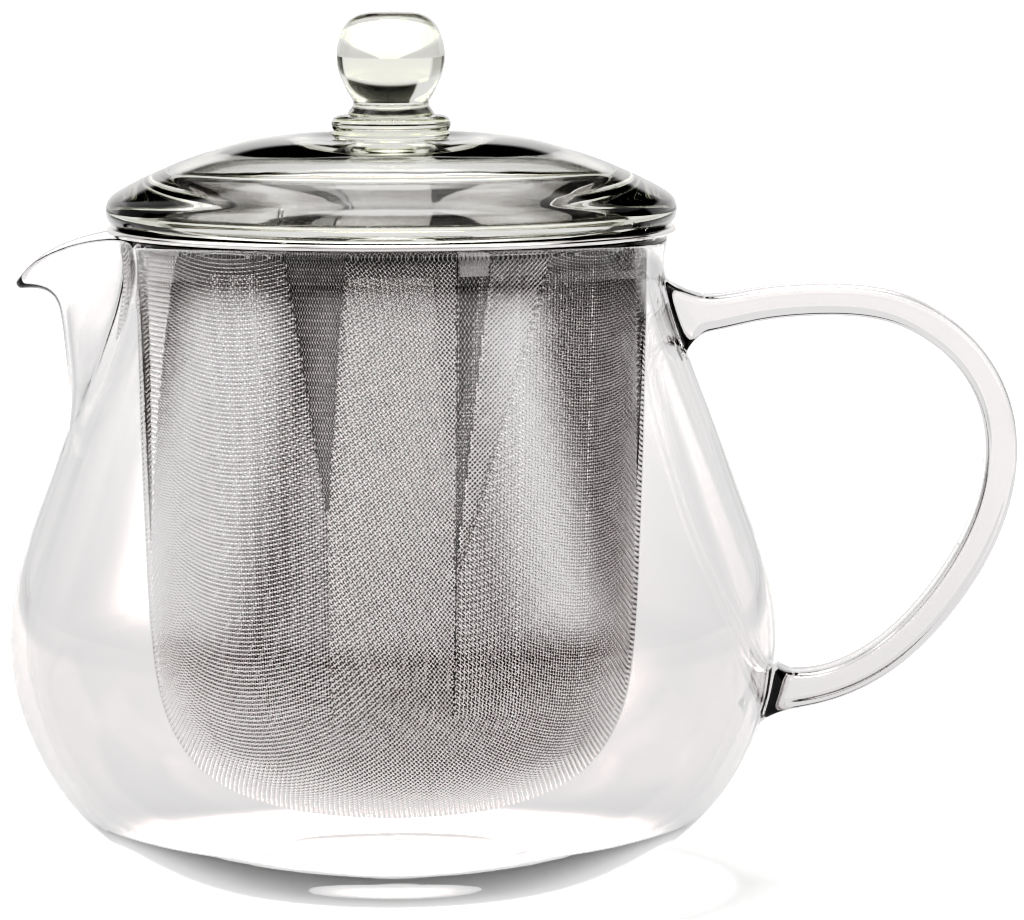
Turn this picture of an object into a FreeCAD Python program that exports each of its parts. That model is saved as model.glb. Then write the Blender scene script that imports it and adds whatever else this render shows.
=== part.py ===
import FreeCAD, Part
import os
import math

# Glass teapot with a lift-out strainer.  Millimetres, +Z up.
# Origin: middle of the flat foot on the table.  Handle toward +X, spout toward -X.

# ---- pot body (blown borosilicate glass) ----
FOOT_R = 24.0           # flat disc the pot stands on
POT_MAX_R = 65.1
LIP_OUT_R = 46.7        # outer radius of the mouth
LIP_TOP_Z = 111.6       # top of the fire-polished lip
WALL_BOTTOM = 3.7
WALL_BELLY = 2.7
WALL_LIP = 2.3
SPOUT_START_Z = 78.0    # height where the pulled spout leaves the round body
SPOUT_HALF_DEG = 21.0   # half the angle the spout takes out of the mouth
SPOUT_TIP_R = 62.7      # reach of the spout's floor from the axis
SPOUT_FLOOR_Z = 102.2   # underside of the spout at its tip

# outer outline of the belly from the foot to the start of the spout (radius, height)
BELLY = [
    (FOOT_R, 0.0), (31.0, 0.75), (37.6, 2.6), (44.6, 6.2), (51.2, 11.0), (56.8, 17.2),
    (61.2, 25.0), (64.2, 34.0), (POT_MAX_R, 42.0), (64.6, 49.5), (62.4, 58.0),
    (59.1, 67.0), (55.1, SPOUT_START_Z),
]
# outer outline of the neck, from the start of the spout to the lip (share, radius, height)
NECK = [
    (0.15, 53.2, 83.0), (0.30, 51.2, 88.2), (0.45, 49.4, 93.2), (0.58, 47.9, 97.5),
    (0.70, 46.9, 101.4), (0.80, 46.35, 104.6), (0.90, 46.3, 107.6), (1.0, LIP_OUT_R, LIP_TOP_Z - 1.38),
]
# middle line of the spout's outer side, at the same shares
SPOUT = [
    (0.15, 54.7, 83.3), (0.30, 55.1, 88.6), (0.45, 55.6, 93.6), (0.58, 56.1, 97.6),
    (0.70, 57.2, 100.7), (0.80, 58.8, 101.9), (0.90, 60.8, SPOUT_FLOOR_Z + 0.05),
    (1.0, SPOUT_TIP_R, SPOUT_FLOOR_Z),
]

# ---- handle (glass strap fused to the neck and the belly) ----
STRAP_W = 11.0          # across, along Y
STRAP_T = 5.2
STRAP_CORNER = 1.9
HANDLE_PATH = [
    (45.5, 97.4), (49.5, 97.6), (54.5, 97.9), (62.0, 99.2), (70.0, 100.0), (77.5, 100.0),
    (85.2, 98.7), (91.6, 95.7), (97.0, 91.2), (100.6, 86.0), (102.7, 80.2), (103.3, 73.6),
    (101.9, 65.0), (98.0, 56.0), (92.0, 47.3), (84.6, 40.0), (76.6, 35.4), (70.5, 33.8),
    (66.0, 33.5), (62.0, 33.4),
]
# extra strap thickness at the two fused ends
FLARE_UPPER = 7.0
FLARE_LOWER = 4.6
FLARE_LENGTH = 7.0

# ---- strainer (stainless steel) ----
RING_OUT_R = 48.2
RING_H = 1.2
SHEET = 0.4
RING_LOWER_IN_R = 44.6
BAND_IN_R = 42.3
BAND_DEPTH = 5.7        # how far the inner band reaches below the ring
BAND_LIP_R = 43.8
MESH_T = 0.5
MESH_CORNER = 1.3
MESH_TOP_R = 43.25      # outer radius just below the ring
# outer outline of the woven cup from the middle of its bottom upward
CUP = [
    (0.0, 12.7), (10.0, 13.15), (20.0, 14.5), (28.6, 17.5), (34.2, 21.6), (37.5, 26.3),
    (39.6, 32.0), (40.9, 40.0), (41.7, 52.0), (42.4, 70.0), (42.9, 90.0), (MESH_TOP_R, 108.0),
]

# ---- lid (glass) ----
LID_R = 48.35
LID_SEAT_IN_R = 41.5
SKIRT_IN_R = 39.7
SKIRT_DEPTH = 5.0       # how far the locating skirt reaches below the seat
COLLAR_R = 10.1
COLLAR_SEAT_R = 9.2
COLLAR_BASE_Z = 127.2
COLLAR_TOP_Z = 131.5
KNOB_R = 9.15
KNOB_NECK_R = 6.35
KNOB_TOP_Z = 148.9


def vec(x, z):
    return FreeCAD.Vector(x, 0.0, z)


def spline(points, start=None, end=None):
    """Smooth edge through (radius, height) points in the XZ plane."""
    curve = Part.BSplineCurve()
    pts = [vec(r, z) for r, z in points]
    if start and end:
        curve.interpolate(Points=pts, InitialTangent=vec(*start), FinalTangent=vec(*end))
    else:
        curve.interpolate(Points=pts)
    return curve.toShape()


def line(a, b):
    return Part.makeLine(vec(*a), vec(*b))


def arc(a, b, c):
    return Part.Arc(vec(*a), vec(*b), vec(*c)).toShape()


def turned(edges):
    """Solid of revolution about Z from a closed outline in the XZ plane."""
    face = Part.Face(Part.Wire(Part.__sortEdges__(edges)))
    solid = face.revolve(FreeCAD.Vector(0, 0, 0), FreeCAD.Vector(0, 0, 1), 360)
    if solid.Volume < 0:
        solid.reverse()
    return solid


def sampled(points, count):
    """Points spaced along the smooth curve through the given ones, as (radius, height)."""
    curve = Part.BSplineCurve()
    curve.interpolate(Points=[vec(r, z) for r, z in points])
    first, last = curve.FirstParameter, curve.LastParameter
    out = []
    for i in range(count + 1):
        p = curve.value(first + (last - first) * i / count)
        out.append((p.x, p.z))
    return out


# ---------------------------------------------------------------- pot body
NECK_STEPS = 16
BELLY_STEPS = 22
neck_line = sampled([BELLY[-3], BELLY[-2], BELLY[-1]] + [(r, z) for s, r, z in NECK], 400)
spout_line = sampled([BELLY[-3], BELLY[-2], BELLY[-1]] + [(r, z) for s, r, z in SPOUT], 400)
belly_line = sampled(BELLY + [(r, z) for s, r, z in NECK], 1200)


def above_start(pts):
    """The part of a sampled line past the start of the spout, with its length shares."""
    kept = []
    started = False
    for p in pts:
        if p[1] >= SPOUT_START_Z:
            started = True
        if started:
            kept.append(p)
    total = [0.0]
    for a, b in zip(kept[:-1], kept[1:]):
        total.append(total[-1] + math.hypot(b[0] - a[0], b[1] - a[1]))
    return kept, [t / total[-1] for t in total]


def at_share(line_pts, shares, s):
    for i in range(len(shares) - 1):
        if shares[i + 1] >= s:
            k = (s - shares[i]) / max(shares[i + 1] - shares[i], 1e-9)
            a = line_pts[i]
            b = line_pts[i + 1]
            return a[0] + (b[0] - a[0]) * k, a[1] + (b[1] - a[1]) * k
    return line_pts[-1]


neck_pts, neck_share = above_start(neck_line)
spout_pts, spout_share = above_start(spout_line)


def pull(theta):
    """How strongly the glass is pulled out into the spout at an angle, 0 to 1."""
    d = abs(theta - math.pi)
    half = math.radians(SPOUT_HALF_DEG)
    if d >= half:
        return 0.0
    return (0.5 + 0.5 * math.cos(math.pi * d / half)) ** 1.15


def skin(theta, s):
    """Point of the outer skin between the start of the spout (s=0) and the lip (s=1)."""
    w = pull(theta)
    g = 0.72 * w * w + 0.28 * w ** 10
    rn, zn = at_share(neck_pts, neck_share, s)
    rs, zs = at_share(spout_pts, spout_share, s)
    r = rn + (rs - rn) * w
    z = zn + (zs - zn) * g
    return FreeCAD.Vector(r * math.cos(theta), r * math.sin(theta), z)


def skin_frame(theta, s):
    """Outer skin point, outward normal and upward tangent."""
    h = 0.004
    p = skin(theta, s)
    lo = max(s - 0.02, 0.0)
    up = skin(theta, min(lo + 0.02, 1.0)).sub(skin(theta, lo))
    up.normalize()
    around = skin(theta + h, s).sub(skin(theta - h, s))
    around.normalize()
    out = around.cross(up)
    out.normalize()
    return p, out, up


ANGLES = []
for step in range(72):
    ANGLES.append(math.radians(5.0 * step))
    if abs(5.0 * step + 2.5 - 180.0) < 26.0:
        ANGLES.append(math.radians(5.0 * step + 2.5))


def ring_wire(points):
    curve = Part.BSplineCurve()
    params = [a / (2 * math.pi) for a in ANGLES] + [1.0]
    curve.interpolate(Points=points, PeriodicFlag=True, Parameters=params)
    return Part.Wire(curve.toShape())


def round_wire(r, z):
    return ring_wire([FreeCAD.Vector(r * math.cos(a), r * math.sin(a), z) for a in ANGLES])


def wall_at(z):
    """Wall thickness against height."""
    if z < 12.0:
        return WALL_BELLY + (WALL_BOTTOM - WALL_BELLY) * (1.0 - z / 12.0)
    if z < 60.0:
        return WALL_BELLY
    return WALL_BELLY + (WALL_LIP - WALL_BELLY) * min((z - 60.0) / 40.0, 1.0)


wires = []
inner_rounds = []
# outer belly, foot to the start of the spout
belly = sampled(BELLY + [(r, z) for s, r, z in NECK[:3]], 900)
belly = [p for p in belly if p[1] < SPOUT_START_Z - 1.5]
length = [0.0]
for a, b in zip(belly[:-1], belly[1:]):
    length.append(length[-1] + math.hypot(b[0] - a[0], b[1] - a[1]))
shares = [v / length[-1] for v in length]
for i in range(BELLY_STEPS + 1):
    share = i / BELLY_STEPS
    r, z = at_share(belly, shares, share)
    if i == 0:
        z = 0.0
    wires.append(round_wire(r, z))
    ra, za = at_share(belly, shares, max(share - 0.01, 0.0))
    rb, zb = at_share(belly, shares, min(share + 0.01, 1.0))
    n = math.hypot(rb - ra, zb - za)
    t = wall_at(z)
    ri = r - t * (zb - za) / n
    zi = z + t * (rb - ra) / n
    if i > 0:
        inner_rounds.append((ri, zi))
# outer neck and spout
upper = [(k + 1) / NECK_STEPS for k in range(NECK_STEPS)]
inner_upper = []
for s in upper:
    pts = []
    inside = []
    for a in ANGLES:
        p, n, up = skin_frame(a, s)
        w = pull(a)
        t = wall_at(p.z) * (1.0 - 0.2 * w)
        pts.append(p)
        inside.append(p.sub(n * t))
    wires.append(ring_wire(pts))
    inner_upper.append(inside)
# over the lip
for deg in (30.0, 60.0, 90.0, 120.0, 150.0):
    pts = []
    for a in ANGLES:
        p, n, up = skin_frame(a, 1.0)
        t = wall_at(p.z) * (1.0 - 0.2 * pull(a))
        c = p.sub(n * (t / 2))
        f = math.radians(deg)
        pts.append(c.add(n * (t / 2 * math.cos(f))).add(up * (t / 2 * math.sin(f))))
    wires.append(ring_wire(pts))
# inner neck, then the inner belly down to the flat floor
for inside in reversed(inner_upper):
    wires.append(ring_wire(inside))
for r, z in reversed(inner_rounds):
    if r > FOOT_R:
        wires.append(round_wire(r, z))
wires.append(round_wire(FOOT_R - 1.0, WALL_BOTTOM))
pot = Part.makeLoft(wires, True, False)
if pot.Volume < 0:
    pot.reverse()

# ---------------------------------------------------------------- handle
def strap_section(x, z, tx, tz, thick, width):
    """Rounded rectangle across the handle's path, as a closed smooth wire."""
    nx = -tz
    nz = tx
    corner = min(STRAP_CORNER, thick * 0.42)
    pts = []
    for sx, sy, start in ((1, 1, 0), (-1, 1, 90), (-1, -1, 180), (1, -1, 270)):
        cu = sx * (thick / 2 - corner)
        cv = sy * (width / 2 - corner)
        for k in range(5):
            f = math.radians(start + 22.5 * k)
            u = cu + corner * math.cos(f)
            v = cv + corner * math.sin(f)
            pts.append(FreeCAD.Vector(x + nx * u, v, z + nz * u))
    curve = Part.BSplineCurve()
    curve.interpolate(Points=pts, PeriodicFlag=True)
    return Part.Wire(curve.toShape())


def strap():
    path = Part.BSplineCurve()
    path.interpolate(Points=[vec(x, z) for x, z in HANDLE_PATH])
    count = 44
    reach = path.length()
    sections = []
    for i in range(count + 1):
        along = reach * i / count
        u = path.parameterAtDistance(along, path.FirstParameter)
        p = path.value(u)
        t = path.tangent(u)[0]
        upper_end = max(0.0, 1.0 - max(along - 2.5, 0.0) / FLARE_LENGTH) ** 2
        lower_end = max(0.0, 1.0 - max(reach - along - 2.5, 0.0) / FLARE_LENGTH) ** 2
        thick = STRAP_T + FLARE_UPPER * upper_end + FLARE_LOWER * lower_end
        width = STRAP_W + 2.2 * upper_end + 2.2 * lower_end
        sections.append(strap_section(p.x, p.z, t.x, t.z, thick, width))
    return Part.makeLoft(sections, True, False)


raw = strap()
handle = max(raw.cut(pot).Solids, key=lambda s: s.Volume)

# ---------------------------------------------------------------- strainer
seat = LIP_TOP_Z                    # the ring rests on the lip
ring_top = seat + RING_H
half = RING_H / 2
edge = RING_OUT_R - half
inner_half = half - SHEET
ring = turned([
    line((BAND_LIP_R, ring_top), (edge, ring_top)),
    arc((edge, ring_top), (RING_OUT_R, seat + half), (edge, seat)),
    line((edge, seat), (RING_LOWER_IN_R, seat)),
    line((RING_LOWER_IN_R, seat), (RING_LOWER_IN_R, seat + SHEET)),
    line((RING_LOWER_IN_R, seat + SHEET), (edge, seat + SHEET)),
    arc((edge, seat + SHEET), (edge + inner_half, seat + half), (edge, ring_top - SHEET)),
    line((edge, ring_top - SHEET), (BAND_LIP_R, ring_top - SHEET)),
    line((BAND_LIP_R, ring_top - SHEET), (BAND_LIP_R, ring_top)),
])

band_r = BAND_IN_R + SHEET          # the mesh lies against the band's outer face
bend = 0.7
s45 = math.sin(math.radians(45))
band = turned([
    line((BAND_LIP_R, ring_top), (BAND_IN_R + bend, ring_top)),
    arc(
        (BAND_IN_R + bend, ring_top),
        (BAND_IN_R + bend - bend * s45, ring_top - bend + bend * s45),
        (BAND_IN_R, ring_top - bend),
    ),
    line((BAND_IN_R, ring_top - bend), (BAND_IN_R, ring_top - BAND_DEPTH)),
    line((BAND_IN_R, ring_top - BAND_DEPTH), (band_r, ring_top - BAND_DEPTH)),
    line((band_r, ring_top - BAND_DEPTH), (band_r, ring_top - bend)),
    arc(
        (band_r, ring_top - bend),
        (band_r + (bend - SHEET) * (1 - s45), ring_top - SHEET - (bend - SHEET) * (1 - s45)),
        (BAND_IN_R + bend, ring_top - SHEET),
    ),
    line((BAND_IN_R + bend, ring_top - SHEET), (BAND_LIP_R, ring_top - SHEET)),
    line((BAND_LIP_R, ring_top - SHEET), (BAND_LIP_R, ring_top)),
])

# woven cup: one drawn sheet with a flange gripped in the ring's hem
mesh_flange_top = ring_top - SHEET
mesh_flange_low = seat + SHEET
flange_t = mesh_flange_top - mesh_flange_low
flange_out_r = edge - 0.6
cup_out = CUP[:-1] + [(MESH_TOP_R, mesh_flange_low - MESH_CORNER)]
cup_in = []
for i, (r, z) in enumerate(cup_out):
    lo = cup_out[max(i - 1, 0)]
    hi = cup_out[min(i + 1, len(cup_out) - 1)]
    n = math.hypot(hi[0] - lo[0], hi[1] - lo[1])
    if i == 0:
        cup_in.append((0.0, z + MESH_T))
    elif i == len(cup_out) - 1:
        cup_in.append((r - MESH_T, z))
    else:
        cup_in.append((r - MESH_T * (hi[1] - lo[1]) / n, z + MESH_T * (hi[0] - lo[0]) / n))
top_z = cup_out[-1][1]
fillet_in = MESH_TOP_R - MESH_T
mesh = turned([
    spline(cup_out, (1.0, 0.0), (0.0, 1.0)),
    arc(
        (MESH_TOP_R, top_z),
        (MESH_TOP_R + MESH_CORNER * (1 - s45), top_z + MESH_CORNER * s45),
        (MESH_TOP_R + MESH_CORNER, mesh_flange_low),
    ),
    line((MESH_TOP_R + MESH_CORNER, mesh_flange_low), (flange_out_r, mesh_flange_low)),
    line((flange_out_r, mesh_flange_low), (flange_out_r, mesh_flange_top)),
    line((flange_out_r, mesh_flange_top), (fillet_in + MESH_CORNER, mesh_flange_top)),
    arc(
        (fillet_in + MESH_CORNER, mesh_flange_top),
        (fillet_in + MESH_CORNER * (1 - s45), mesh_flange_top - MESH_CORNER * (1 - s45)),
        (fillet_in, mesh_flange_top - MESH_CORNER),
    ),
    line((fillet_in, mesh_flange_top - MESH_CORNER), (fillet_in, top_z)),
    spline(cup_in, (1.0, 0.0), (0.0, 1.0)),
    line(cup_in[0], cup_out[0]),
])

# ---------------------------------------------------------------- lid
lid_seat = ring_top
lid_outer = [
    (LID_R, lid_seat + 3.0), (47.9, lid_seat + 4.4), (46.2, lid_seat + 5.9),
    (42.9, lid_seat + 7.7), (39.2, lid_seat + 9.4), (35.3, lid_seat + 11.0),
    (30.0, lid_seat + 12.8), (25.0, lid_seat + 14.2), (19.5, lid_seat + 15.1),
    (14.5, lid_seat + 15.1), (11.5, lid_seat + 14.6), (COLLAR_SEAT_R, COLLAR_BASE_Z),
]
lid_inner = [
    (SKIRT_IN_R, lid_seat + 3.4), (38.6, lid_seat + 6.0), (35.2, lid_seat + 8.2),
    (30.0, lid_seat + 10.1), (24.5, lid_seat + 11.5), (17.0, lid_seat + 12.4),
    (9.0, lid_seat + 12.5), (0.0, lid_seat + 12.5),
]
skirt_low = lid_seat - SKIRT_DEPTH
skirt_mid = (SKIRT_IN_R + LID_SEAT_IN_R) / 2
lid = turned([
    line((0.0, COLLAR_BASE_Z), (COLLAR_SEAT_R, COLLAR_BASE_Z)),
    spline(list(reversed(lid_outer)), (1.0, 0.15), (0.0, -1.0)),
    arc((LID_R, lid_seat + 3.0), (LID_R - 0.55, lid_seat + 0.95), (LID_R - 2.2, lid_seat)),
    line((LID_R - 2.2, lid_seat), (LID_SEAT_IN_R, lid_seat)),
    line((LID_SEAT_IN_R, lid_seat), (LID_SEAT_IN_R, skirt_low + 0.9)),
    arc((LID_SEAT_IN_R, skirt_low + 0.9), (skirt_mid, skirt_low), (SKIRT_IN_R, skirt_low + 0.9)),
    line((SKIRT_IN_R, skirt_low + 0.9), (SKIRT_IN_R, lid_seat + 3.4)),
    spline(lid_inner, (0.0, 1.0), (-1.0, 0.0)),
    line((0.0, lid_seat + 12.5), (0.0, COLLAR_BASE_Z)),
])

collar = turned([
    line((0.0, COLLAR_BASE_Z), (COLLAR_SEAT_R, COLLAR_BASE_Z)),
    spline([
        (COLLAR_SEAT_R, COLLAR_BASE_Z), (9.75, COLLAR_BASE_Z + 0.55),
        (9.95, COLLAR_BASE_Z + 1.3), (COLLAR_R - 0.05, COLLAR_BASE_Z + 2.2),
        (COLLAR_R, COLLAR_BASE_Z + 3.0), (9.6, COLLAR_BASE_Z + 3.75),
        (8.6, COLLAR_TOP_Z - 0.1), (7.6, COLLAR_TOP_Z),
    ]),
    line((7.6, COLLAR_TOP_Z), (0.0, COLLAR_TOP_Z)),
    line((0.0, COLLAR_TOP_Z), (0.0, COLLAR_BASE_Z)),
])

knob = turned([
    line((0.0, COLLAR_TOP_Z), (7.3, COLLAR_TOP_Z)),
    spline([
        (7.3, COLLAR_TOP_Z), (7.0, COLLAR_TOP_Z + 0.7), (6.5, COLLAR_TOP_Z + 1.5),
        (KNOB_NECK_R, COLLAR_TOP_Z + 2.0), (6.75, 134.4), (7.6, 135.9), (8.45, 137.7),
        (9.0, 139.6), (KNOB_R, 141.2), (9.05, 142.8), (8.7, 144.3), (7.95, 146.2),
        (6.8, 147.6), (5.3, 148.45), (3.4, 148.8), (0.0, KNOB_TOP_Z),
    ]),
    line((0.0, KNOB_TOP_Z), (0.0, COLLAR_TOP_Z)),
])

os.makedirs("parts", exist_ok=True)
shapes = (
    ("pot_body", pot),
    ("handle", handle),
    ("strainer_ring", ring),
    ("strainer_band", band),
    ("strainer_mesh", mesh),
    ("lid_shell", lid),
    ("knob_collar", collar),
    ("knob", knob),
)
for name, shape in shapes:
    shape.exportStep("parts/" + name + ".step")
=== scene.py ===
"""Glass teapot with a lift-out strainer: looks, light and camera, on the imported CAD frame.

Lengths in the tables are millimetres, as on the real pot. MM turns them into metres.
"""

import math

import bmesh
import bpy
import numpy as np
from mathutils import Matrix, Vector


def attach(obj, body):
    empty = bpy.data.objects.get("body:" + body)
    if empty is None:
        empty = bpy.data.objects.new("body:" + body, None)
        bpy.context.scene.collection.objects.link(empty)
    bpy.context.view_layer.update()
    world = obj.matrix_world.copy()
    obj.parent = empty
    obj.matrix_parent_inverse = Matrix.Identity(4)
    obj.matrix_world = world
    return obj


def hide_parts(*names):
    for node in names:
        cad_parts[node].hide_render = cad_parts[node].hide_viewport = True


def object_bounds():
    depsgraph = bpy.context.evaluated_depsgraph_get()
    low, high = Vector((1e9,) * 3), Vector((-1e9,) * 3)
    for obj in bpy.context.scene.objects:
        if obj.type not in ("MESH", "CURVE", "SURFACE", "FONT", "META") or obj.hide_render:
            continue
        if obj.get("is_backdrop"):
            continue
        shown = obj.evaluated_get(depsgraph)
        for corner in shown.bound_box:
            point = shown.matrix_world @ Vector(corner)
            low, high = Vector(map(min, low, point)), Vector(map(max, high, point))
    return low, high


MM = 0.001
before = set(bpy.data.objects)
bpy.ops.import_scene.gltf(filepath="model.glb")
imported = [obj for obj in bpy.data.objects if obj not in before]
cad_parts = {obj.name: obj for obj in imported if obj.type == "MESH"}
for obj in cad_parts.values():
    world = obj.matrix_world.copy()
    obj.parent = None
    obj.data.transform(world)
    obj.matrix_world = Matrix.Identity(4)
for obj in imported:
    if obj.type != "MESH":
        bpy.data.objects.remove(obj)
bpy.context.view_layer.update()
rng = np.random.default_rng(7)

# ------------------------------------------------------------------ outlines (mm)
FOOT_R, LIP_OUT_R, LIP_TOP_Z = 24.0, 46.7, 111.6
WALL_BOTTOM, WALL_BELLY, WALL_LIP = 3.7, 2.7, 2.3
SPOUT_START_Z, SPOUT_HALF_DEG, SPOUT_TIP_R, SPOUT_FLOOR_Z = 78.0, 21.0, 62.7, 102.2
BELLY = [
    (FOOT_R, 0.0), (31.0, 0.75), (37.6, 2.6), (44.6, 6.2), (51.2, 11.0), (56.8, 17.2),
    (61.2, 25.0), (64.2, 34.0), (65.1, 42.0), (64.6, 49.5), (62.4, 58.0), (59.1, 67.0),
    (55.1, SPOUT_START_Z),
]
NECK = [
    (53.2, 83.0), (51.2, 88.2), (49.4, 93.2), (47.9, 97.5), (46.9, 101.4), (46.35, 104.6),
    (46.3, 107.6), (LIP_OUT_R, LIP_TOP_Z - 1.38),
]
SPOUT = [
    (54.7, 83.3), (55.1, 88.6), (55.6, 93.6), (56.1, 97.6), (57.2, 100.7), (58.8, 101.9),
    (60.8, SPOUT_FLOOR_Z + 0.05), (SPOUT_TIP_R, SPOUT_FLOOR_Z),
]
HANDLE_PATH = [
    (45.5, 97.4), (49.5, 97.6), (54.5, 97.9), (62.0, 99.2), (70.0, 100.0), (77.5, 100.0),
    (85.2, 98.7), (91.6, 95.7), (97.0, 91.2), (100.6, 86.0), (102.7, 80.2), (103.3, 73.6),
    (101.9, 65.0), (98.0, 56.0), (92.0, 47.3), (84.6, 40.0), (76.6, 35.4), (70.5, 33.8),
    (66.0, 33.5), (62.0, 33.4),
]
STRAP_W, STRAP_T, STRAP_CORNER = 11.0, 5.2, (1.1, 2.4)
RING_OUT_R, RING_H, SHEET, BAND_IN_R, BAND_DEPTH = 48.2, 1.2, 0.4, 42.3, 5.7
RING_TOP = LIP_TOP_Z + RING_H
CUP = [
    (0.0, 12.7), (10.0, 13.15), (20.0, 14.5), (28.6, 17.5), (34.2, 21.6), (37.5, 26.3),
    (39.6, 32.0), (40.9, 40.0), (41.7, 52.0), (42.4, 70.0), (42.9, 90.0), (43.25, 108.0),
]


# ------------------------------------------------------------------ helpers
def spline(points, count):
    """count+1 points of the smooth curve through the given (radius, height) points."""
    p = np.array(points, float)
    t = np.r_[0.0, np.cumsum(np.hypot(*np.diff(p, axis=0).T))]
    n = len(p)
    h = np.diff(t)
    a = np.zeros((n, n))
    b = np.zeros((n, 2))
    a[0, 0] = a[-1, -1] = 1.0
    for i in range(1, n - 1):
        a[i, i - 1], a[i, i], a[i, i + 1] = h[i - 1], 2 * (h[i - 1] + h[i]), h[i]
        b[i] = 6 * ((p[i + 1] - p[i]) / h[i] - (p[i] - p[i - 1]) / h[i - 1])
    m = np.linalg.solve(a, b)
    u = np.linspace(0, t[-1], count + 1)
    k = np.clip(np.searchsorted(t, u, side="right") - 1, 0, n - 2)
    d, w = u - t[k], h[k]
    e = w - d
    return (
        m[k] * (e**3 / (6 * w))[:, None]
        + m[k + 1] * (d**3 / (6 * w))[:, None]
        + (p[k] / w[:, None] - m[k] * w[:, None] / 6) * e[:, None]
        + (p[k + 1] / w[:, None] - m[k + 1] * w[:, None] / 6) * d[:, None]
    )


def lengths(pts):
    return np.r_[0.0, np.cumsum(np.linalg.norm(np.diff(pts, axis=0), axis=1))]


def arc_points(cx, cz, r, start, end, count):
    a = np.radians(np.linspace(start, end, count))
    return [(cx + r * math.cos(v), cz + r * math.sin(v)) for v in a]


def make_object(name, verts, faces, material):
    """A smooth-shaded object from vertices in millimetres, with its normals outward."""
    mesh = bpy.data.meshes.new(name)
    mesh.from_pydata([tuple(v) for v in np.asarray(verts) * MM], [], faces)
    mesh.validate()
    bm = bmesh.new()
    bm.from_mesh(mesh)
    bmesh.ops.remove_doubles(bm, verts=bm.verts, dist=1e-7)
    bmesh.ops.recalc_face_normals(bm, faces=bm.faces)
    bm.to_mesh(mesh)
    bm.free()
    mesh.polygons.foreach_set("use_smooth", [True] * len(mesh.polygons))
    mesh.materials.append(material)
    ob = bpy.data.objects.new(name, mesh)
    bpy.context.scene.collection.objects.link(ob)
    return ob


def lathe(profile, columns):
    """Vertices and faces of a profile turned about Z. Points on the axis become one vertex."""
    verts, rings, faces = [], [], []
    angles = np.arange(columns) * 2 * math.pi / columns
    for r, z in profile:
        if r < 1e-6:
            rings.append([len(verts)])
            verts.append((0.0, 0.0, z))
        else:
            rings.append(list(range(len(verts), len(verts) + columns)))
            verts.extend((r * math.cos(a), r * math.sin(a), z) for a in angles)
    for lo, hi in zip(rings[:-1], rings[1:]):
        for k in range(columns):
            n = (k + 1) % columns
            if len(lo) == 1:
                faces.append((lo[0], hi[k], hi[n]))
            elif len(hi) == 1:
                faces.append((lo[k], hi[0], lo[n]))
            else:
                faces.append((lo[k], hi[k], hi[n], lo[n]))
    return verts, faces


def node_tree(mat):
    mat.use_nodes = True
    nt = mat.node_tree
    nt.nodes.clear()
    return nt, nt.nodes, nt.links


def noise(nt, scale, detail=4.0, rough=0.55):
    co = nt.nodes.new("ShaderNodeTexCoord")
    tex = nt.nodes.new("ShaderNodeTexNoise")
    tex.inputs["Scale"].default_value = scale
    tex.inputs["Detail"].default_value = detail
    tex.inputs["Roughness"].default_value = rough
    nt.links.new(co.outputs["Object"], tex.inputs["Vector"])
    return tex


def map_range(nt, socket, lo, hi, to_lo, to_hi, kind="LINEAR"):
    n = nt.nodes.new("ShaderNodeMapRange")
    n.interpolation_type = kind
    n.inputs["From Min"].default_value = lo
    n.inputs["From Max"].default_value = hi
    n.inputs["To Min"].default_value = to_lo
    n.inputs["To Max"].default_value = to_hi
    nt.links.new(socket, n.inputs["Value"])
    return n.outputs["Result"]


def object_place(nt):
    """Separate XYZ node on the object coordinates, which are metres."""
    co = nt.nodes.new("ShaderNodeTexCoord")
    place = nt.nodes.new("ShaderNodeSeparateXYZ")
    nt.links.new(co.outputs["Object"], place.inputs["Vector"])
    return place


def maths(nt, kind, *values):
    """Math node; a value is a number or a socket."""
    n = nt.nodes.new("ShaderNodeMath")
    n.operation = kind
    for k, v in enumerate(values):
        if isinstance(v, (int, float)):
            n.inputs[k].default_value = v
        else:
            nt.links.new(v, n.inputs[k])
    return n.outputs["Value"]


# ------------------------------------------------------------------ materials
GLASS_IOR = 1.472
FILM_FULL_Z, FILM_END_Z = 0.030, 0.078      # dried film: all of it below, none above (m)
TOP_SHADE_Z = (0.097, 0.107)                      # painted shade darkens the crests a little above this, under the rim (m)
LIT_INSIDE_Z = (0.050, 0.066)                    # painted shade on the cup's inside stops above this (m)
# colour of the painted shade in the weave's hollows and low inside the cup
SHADE_COLOUR = (0.03, 0.026, 0.024, 1)


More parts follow.
